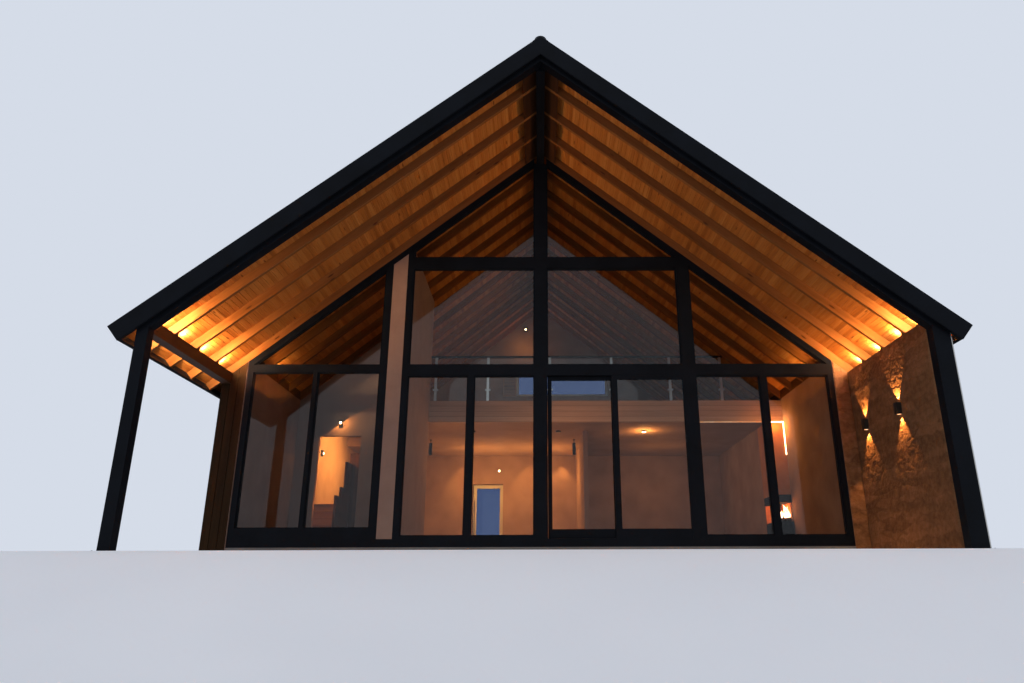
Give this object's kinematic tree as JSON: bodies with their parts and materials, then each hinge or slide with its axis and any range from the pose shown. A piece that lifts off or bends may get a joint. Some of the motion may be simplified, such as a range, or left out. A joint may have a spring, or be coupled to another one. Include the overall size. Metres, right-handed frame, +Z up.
{
  "type": "glass-fronted gabled cabin",
  "caption": "Gabled timber and steel cabin with a deep open porch, a fully glazed front gable, stone side wall, mezzanine, sliding glass door and a rear glass door.",
  "frame": {"origin": "centre of the roof's plan rectangle, on the base level where the walls and posts stand on the ground", "axes": "+Z up, +X to the right as seen from the front, +Y from the glazed porch end to the rear; the ridge runs along Y"},
  "size_m": [13.5, 14, 8.9129],
  "materials": {
    "concrete": "rough concrete",
    "wall_boards": "dark brown boards",
    "stone_wall": "rough rubble stone",
    "rafter_timber": "brown stain",
    "soffit_timber": "clear stain over pine boards",
    "beam_timber": "dark stain",
    "roof_metal": "matt black sheet",
    "black_steel": "matt black paint",
    "plaster": "smooth pale render",
    "breast_plaster": "warm smooth render",
    "window_glass": "clear double glazing",
    "floor_timber": "oiled boards",
    "band_timber": "pale lining boards",
    "stair_timber": "oiled treads",
    "pale_metal": "satin",
    "pale_frame": "pale paint",
    "lamp_body": "dark bronze"
  },
  "bodies": {
    "house": {"floor_slab": "concrete", "front_plinth": "concrete", "left_side_wall": "wall_boards", "right_side_wall": "stone_wall", "porch_stone_wall": "stone_wall", "rear_wall": "wall_boards", "rear_wall_over_door": "wall_boards", "rear_gable_sides": "wall_boards", "rafters": "rafter_timber", "soffit_boards": "soffit_timber", "roof_covering": "roof_metal", "ridge_cap": "roof_metal", "front_barge": "black_steel", "rear_barge": "black_steel", "eave_fascias": "black_steel", "portal_beams": "black_steel", "portal_posts": "black_steel", "ridge_beam": "black_steel", "ridge_blocks": "beam_timber", "left_eave_beam": "beam_timber", "eave_blocking": "beam_timber", "glazing_sill": "black_steel", "glazing_posts": "black_steel", "glazing_transoms": "black_steel", "glazing_heads": "black_steel", "pale_pier": "plaster", "front_glass": "window_glass", "door_fixed_rails": "black_steel", "long_wall": "plaster", "cross_wall": "plaster", "cross_wall_over_door": "plaster", "rear_inner_wall": "plaster", "mezzanine_floor": "floor_timber", "stair_screen": "beam_timber", "mezzanine_band": "band_timber", "balustrade_posts": "pale_metal", "balustrade_rail": "black_steel", "balustrade_glass": "window_glass", "stair_lower_flight": "stair_timber", "stair_middle_flight": "stair_timber", "stair_top_flight": "stair_timber", "chimney_breast": "breast_plaster", "fire_surround": "black_steel", "wall_lights": "black_steel", "uplights": "lamp_body", "ceiling_lights": "lamp_body", "rear_door_hinges": "pale_metal", "rear_window_frame": "pale_frame", "rear_window_glass": "window_glass"},
    "sliding_leaf": {"door_leaf_stiles": "black_steel", "door_leaf_rails": "black_steel", "door_leaf_glass": "window_glass"},
    "rear_door": {"rear_door_stiles": "pale_frame", "rear_door_rails": "pale_frame", "rear_door_glass": "window_glass", "rear_door_pull": "pale_metal"}
  },
  "joints": [
    {"name": "sliding_leaf_slide", "type": "slide", "parent": "house", "child": "sliding_leaf", "axis": [1, 0, 0], "range_m": [0, 1.25]},
    {"name": "rear_door_hinge", "type": "hinge", "parent": "house", "child": "rear_door", "pos_m": [-1.2095, 6.404, 1.5], "axis": [0, 0, -1], "range_deg": [0, 100]}
  ]
}
